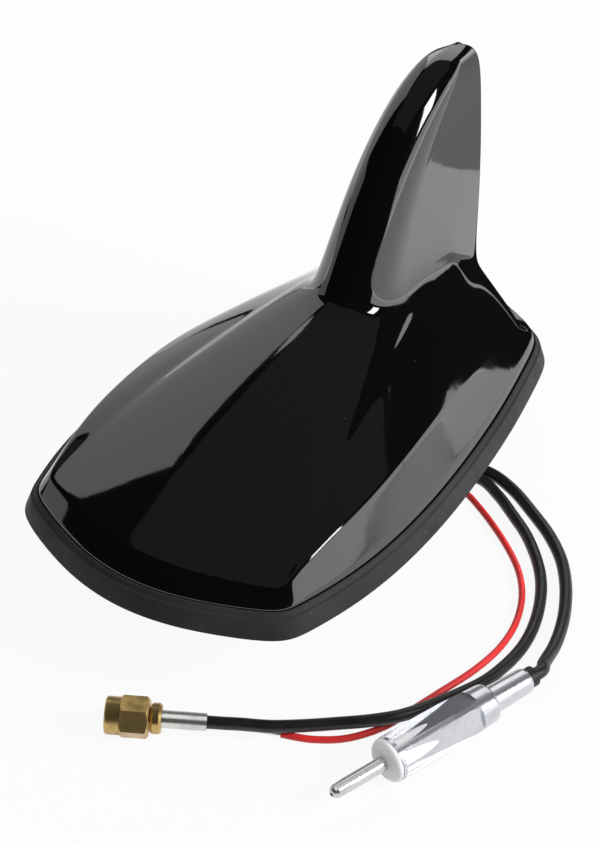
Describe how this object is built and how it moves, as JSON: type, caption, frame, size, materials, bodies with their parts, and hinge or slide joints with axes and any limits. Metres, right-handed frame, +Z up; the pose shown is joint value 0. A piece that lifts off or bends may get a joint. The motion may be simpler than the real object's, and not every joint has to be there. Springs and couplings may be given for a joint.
{
  "type": "shark fin roof aerial",
  "caption": "Gloss black roof aerial with a tall fin, a rubber skirt, a hollow mounting stud, and leads that end in an FM plug, a screw-on coaxial plug and a bare red wire.",
  "frame": {"origin": "on the stud axis at the roof face, under the seal and the earth pad", "axes": "+Z up away from the roof, +Y to the tail of the fin, nose towards -Y; the leads lie on a plane 18.2 mm below the roof face"},
  "size_m": [0.1227, 0.1687, 0.0976],
  "materials": {
    "housing": "gloss black",
    "seal": "matte",
    "plate": "as cast",
    "stud": "zinc plated",
    "gland": "matte",
    "board": "satin",
    "screws": "zinc plated",
    "ceramic": "matte",
    "silvering": "satin",
    "foam": "matte",
    "can": "tinned",
    "chip": "matte",
    "copper": "bright",
    "capacitor": "matte",
    "contact": "bright",
    "lead_jacket": "satin",
    "plug_chrome": "nickel plated",
    "plug_white": "satin",
    "ferrule": "tinned",
    "plug_brass": "gold flashed",
    "red_jacket": "satin"
  },
  "bodies": {
    "aerial": {"fin_housing": "housing", "base_seal": "seal", "base_plate": "plate", "mount_stud": "stud", "lead_gland": "gland", "main_board": "board", "board_screws": "screws", "housing_screws": "screws", "patch_ceramic": "ceramic", "patch_electrode": "silvering", "patch_pad": "foam", "amp_can": "can", "fm_chip": "chip", "choke_coils": "copper", "capacitors": "capacitor", "fin_board": "board", "fin_trace": "copper", "contact_spring": "contact", "fm_lead": "lead_jacket", "fm_boot": "gland", "fm_collar": "plug_chrome", "fm_shell": "plug_chrome", "fm_insulator": "plug_white", "fm_pin": "plug_chrome", "gps_lead": "lead_jacket", "coax_ferrule": "ferrule", "coax_body": "plug_brass", "coax_insulator": "plug_white", "coax_pin": "contact", "power_lead": "red_jacket", "power_lead_tip": "ferrule"},
    "coupling_nut": {"coax_nut": "plug_brass"}
  },
  "joints": [
    {"name": "coupling_spin", "type": "hinge", "parent": "aerial", "child": "coupling_nut", "pos_m": [0.01307, -0.0914, -0.0142], "axis": [-0.8643, -0.503, 0], "continuous": true}
  ]
}
